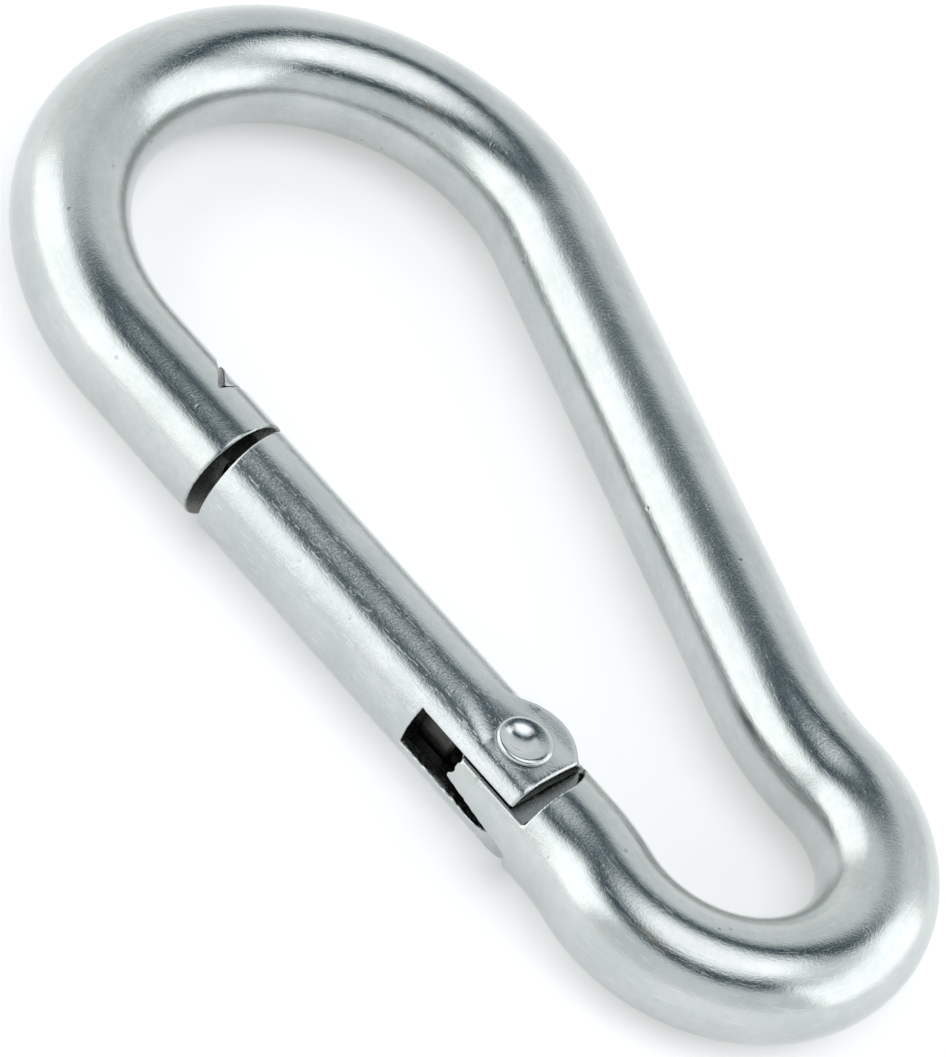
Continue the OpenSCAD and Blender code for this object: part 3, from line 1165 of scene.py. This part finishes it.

# %% [markdown]
# ## The plunger
# Inside the tube a turned steel plunger rides on the tang's cam. Its stem guides the
# spring. Its steel is coloured near black, as painted shade inside the bore.

# %% Plunger
PLUNGER_SIDES = 72
PLUNGER_BEVEL = 0.4
CAM_PLAY = 0.05
PLUNGER_R = BORE_R - 0.1
PLUNGER_LEN = 6.0
STEM_R = 1.8
STEM_LEN = 5.0
plunger_face = PIVOT_X - CAM_R - CAM_PLAY
plunger_back = plunger_face - PLUNGER_LEN
plunger_profile = [
    (0, plunger_back - STEM_LEN),
    (STEM_R - PLUNGER_BEVEL, plunger_back - STEM_LEN),
    (STEM_R, plunger_back - STEM_LEN + PLUNGER_BEVEL),
    (STEM_R, plunger_back),
    (PLUNGER_R, plunger_back),
    (PLUNGER_R, plunger_face - PLUNGER_BEVEL),
    (PLUNGER_R - PLUNGER_BEVEL, plunger_face),
    (0, plunger_face),
]


def along_gate(points):
    """Turns a lathed shape so that its axis lies along the gate."""
    return points[:, [2, 0, 1]]


plunger_points, plunger_faces = turned(rounded_profile(plunger_profile), PLUNGER_SIDES)
plunger_points = along_gate(plunger_points)
no_cut = np.zeros(len(plunger_points))
plunger = build(
    "turned_plunger", plunger_points, plunger_faces, PLUNGER_STEEL_PAINTED_SHADE, plunger_points, no_cut
)
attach(plunger, "follower")
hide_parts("plunger")
print("plunger:", len(plunger_faces), "faces")

# %% [markdown]
# ## The closing spring
# The spring is a helix of round wire, so it is a second Geometry Nodes tree: a
# Spiral curve swept by a small circle, with the turns, the radius and the length as
# named inputs.

# %% Spring tree
WIRE_D = 0.8
WIRE_SIDES = 14
COIL_D = 6.0
COIL_TURNS = 9
TURN_STEPS = 32
END_PLAY = 0.05
coil_from = BORE_X + WIRE_D / 2 + END_PLAY
coil_to = plunger_back - WIRE_D / 2 - END_PLAY
coil_radius = (COIL_D - WIRE_D) / 2


def spring_tree():
    tree = bpy.data.node_groups.new("wind_spring", "GeometryNodeTree")
    add_socket(tree, "Anything", "NodeSocketGeometry")
    add_socket(tree, "Turns", "NodeSocketFloat", float(COIL_TURNS))
    add_socket(tree, "Coil radius", "NodeSocketFloat", coil_radius * MM)
    add_socket(tree, "Length", "NodeSocketFloat", (coil_to - coil_from) * MM)
    add_socket(tree, "Wire radius", "NodeSocketFloat", WIRE_D / 2 * MM)
    add_socket(tree, "Sides", "NodeSocketInt", WIRE_SIDES)
    add_socket(tree, "Finish", "NodeSocketMaterial")
    start = tree.nodes.new("NodeGroupInput")
    spiral = tree.nodes.new("GeometryNodeCurveSpiral")
    spiral.inputs["Resolution"].default_value = TURN_STEPS
    join = tree.links.new
    join(start.outputs["Turns"], spiral.inputs["Rotations"])
    join(start.outputs["Coil radius"], spiral.inputs["Start Radius"])
    join(start.outputs["Coil radius"], spiral.inputs["End Radius"])
    join(start.outputs["Length"], spiral.inputs["Height"])
    sweep = add_sweep(tree, start, spiral.outputs["Curve"], "Wire radius", "Spring")
    sweep.inputs["Fill Caps"].default_value = True
    return tree


print("spring:", round(coil_to - coil_from + WIRE_D, 2), "mm long when the gate is shut")

# %% Spring
spring_inputs = {
    "Turns": float(COIL_TURNS),
    "Coil radius": coil_radius * MM,
    "Length": (coil_to - coil_from) * MM,
    "Wire radius": WIRE_D / 2 * MM,
    "Sides": WIRE_SIDES,
    "Finish": SPRING_WIRE,
}
spring_seed = line_object("spring_seed", [(0, 0, 0), (0, 0, MM)])
coil = baked(spring_seed, spring_tree(), spring_inputs)
coil_points = along_gate(mesh_points(coil) / MM) + [coil_from, 0, 0]
coil_faces = [list(p.vertices) for p in coil.polygons]
bpy.data.meshes.remove(coil)
if volume(coil_points, coil_faces) < 0:
    coil_faces = [f[::-1] for f in coil_faces]
no_cut = np.zeros(len(coil_points))
spring = build("wound_spring", coil_points, coil_faces, SPRING_WIRE, coil_points, no_cut)
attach(spring, "gate_arm")
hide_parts("closing_spring")
print("spring:", len(coil_faces), "faces")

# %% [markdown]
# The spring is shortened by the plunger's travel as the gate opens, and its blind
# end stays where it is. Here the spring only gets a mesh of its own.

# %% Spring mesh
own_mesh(spring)

# %% [markdown]
# ## Floor and studio
# Bright metal shows nothing but its surroundings, so the studio is part of the
# finish. The hook lies on a white table that glows a little. A white box stands on
# each side, with a smaller one above the right-hand one. A soft light hangs overhead,
# and between it and the walls there is a dark gap. That gap is the dark streak which
# runs along every bar. The walls, the gap and the overhead light are one ramp on the
# world's direction, tipped a little. The three boxes and a small warm lamp are area
# lights.

# %% Floor
TABLE_HALF = 4.0
TABLE_WHITE = (0.93, 0.93, 0.93, 1)
TABLE_ROUGH = 0.6
TABLE_SHINE = 0.2
TABLE_GLOW = 0.26
TABLE_GLOW_TINT = (1, 0.99, 0.985, 1)


def make_floor():
    mesh = bpy.data.meshes.new("floor")
    corners = [(-1, -1, 0), (1, -1, 0), (1, 1, 0), (-1, 1, 0)]
    mesh.from_pydata([Vector(c) * TABLE_HALF for c in corners], [], [(0, 1, 2, 3)])
    material, tree, shader = new_material("white_table")
    shader.inputs["Base Color"].default_value = TABLE_WHITE
    shader.inputs["Roughness"].default_value = TABLE_ROUGH
    shader.inputs["Specular IOR Level"].default_value = TABLE_SHINE
    shader.inputs["Emission Color"].default_value = TABLE_GLOW_TINT
    shader.inputs["Emission Strength"].default_value = TABLE_GLOW
    mesh.materials.append(material)
    floor = shown("floor", mesh)


make_floor()
print("white table", 2 * TABLE_HALF, "m wide")

# %% Sky
SKY_AXIS = direction(5, 80)
SKY_GAIN = 2.0
SKY = [
    (0.00, (1.02, 1.04, 1.04)),
    (0.30, (0.90, 0.94, 0.95)),
    (0.66, (0.85, 0.90, 0.91)),
    (0.725, (0.44, 0.50, 0.53)),
    (0.77, (0.03, 0.06, 0.08)),
    (0.85, (0.025, 0.05, 0.07)),
    (0.88, (0.34, 0.42, 0.46)),
    (0.92, (1.10, 1.14, 1.16)),
    (0.97, (1.62, 1.63, 1.66)),
]


def make_sky():
    """The ramp is stored at a part of its light, because its stops end at 1."""
    world = bpy.data.worlds.new("studio")
    bpy.context.scene.world = world
    world.use_nodes = True
    w = Wires(world.node_tree)
    back = next(n for n in world.node_tree.nodes if n.type == "BACKGROUND")
    coordinates = w.node("ShaderNodeTexCoord")
    dot = w.node("ShaderNodeVectorMath", operation="DOT_PRODUCT")
    w.feed(coordinates.outputs["Generated"], dot.inputs[0])
    dot.inputs[1].default_value = SKY_AXIS
    ramp = w.node("ShaderNodeValToRGB")
    w.feed(dot.outputs["Value"], ramp.inputs["Fac"])
    stops = ramp.color_ramp.elements
    while len(stops) < len(SKY):
        stops.new(0.5)
    for stop, (at, colour) in zip(stops, SKY):
        stop.position = at
        stop.color = (*(c / SKY_GAIN for c in colour), 1)
    w.feed(ramp.outputs["Color"], back.inputs["Color"])
    back.inputs["Strength"].default_value = SKY_GAIN


make_sky()
print("sky ramp with", len(SKY), "stops")

# %% Soft boxes
BOX_DISTANCE = 1.2
BOXES = [
    {"name": "right_box", "at": (46, 26), "wide": 60, "high": 54, "radiance": 0.85},
    {"name": "upper_right_box", "at": (44, 59), "wide": 34, "high": 22, "radiance": 0.35},
    {"name": "left_box", "at": (-135, 26), "wide": 72, "high": 46, "radiance": 0.82},
]
WARM_LAMP = {"name": "warm_lamp", "at": (-68, 56), "wide": 10, "high": 4, "radiance": 0.6}
WARM_TINT = (1, 0.75, 0.42)


def soft_box(name, at, wide, high, radiance, tint=(1, 1, 1)):
    """An area light that faces the hook. Its place and size are angles in degrees."""
    data = bpy.data.lights.new(name, "AREA")
    data.shape = "RECTANGLE"
    data.size = 2 * BOX_DISTANCE * math.tan(math.radians(wide / 2))
    data.size_y = 2 * BOX_DISTANCE * math.tan(math.radians(high / 2))
    data.energy = radiance * math.pi * data.size * data.size_y
    data.color = tint
    lamp = shown(name, data)
    towards = direction(*at)
    lamp.location = BOX_DISTANCE * towards
    lamp.rotation_euler = towards.to_track_quat("Z", "Y").to_euler()


for box in BOXES:
    soft_box(**box)
soft_box(**WARM_LAMP, tint=WARM_TINT)
print("lamps:", len(BOXES), "soft boxes and a warm lamp")

# %% Colour
bpy.context.scene.view_settings.view_transform = "Standard"
print("colours are shown as", bpy.context.scene.view_settings.view_transform)
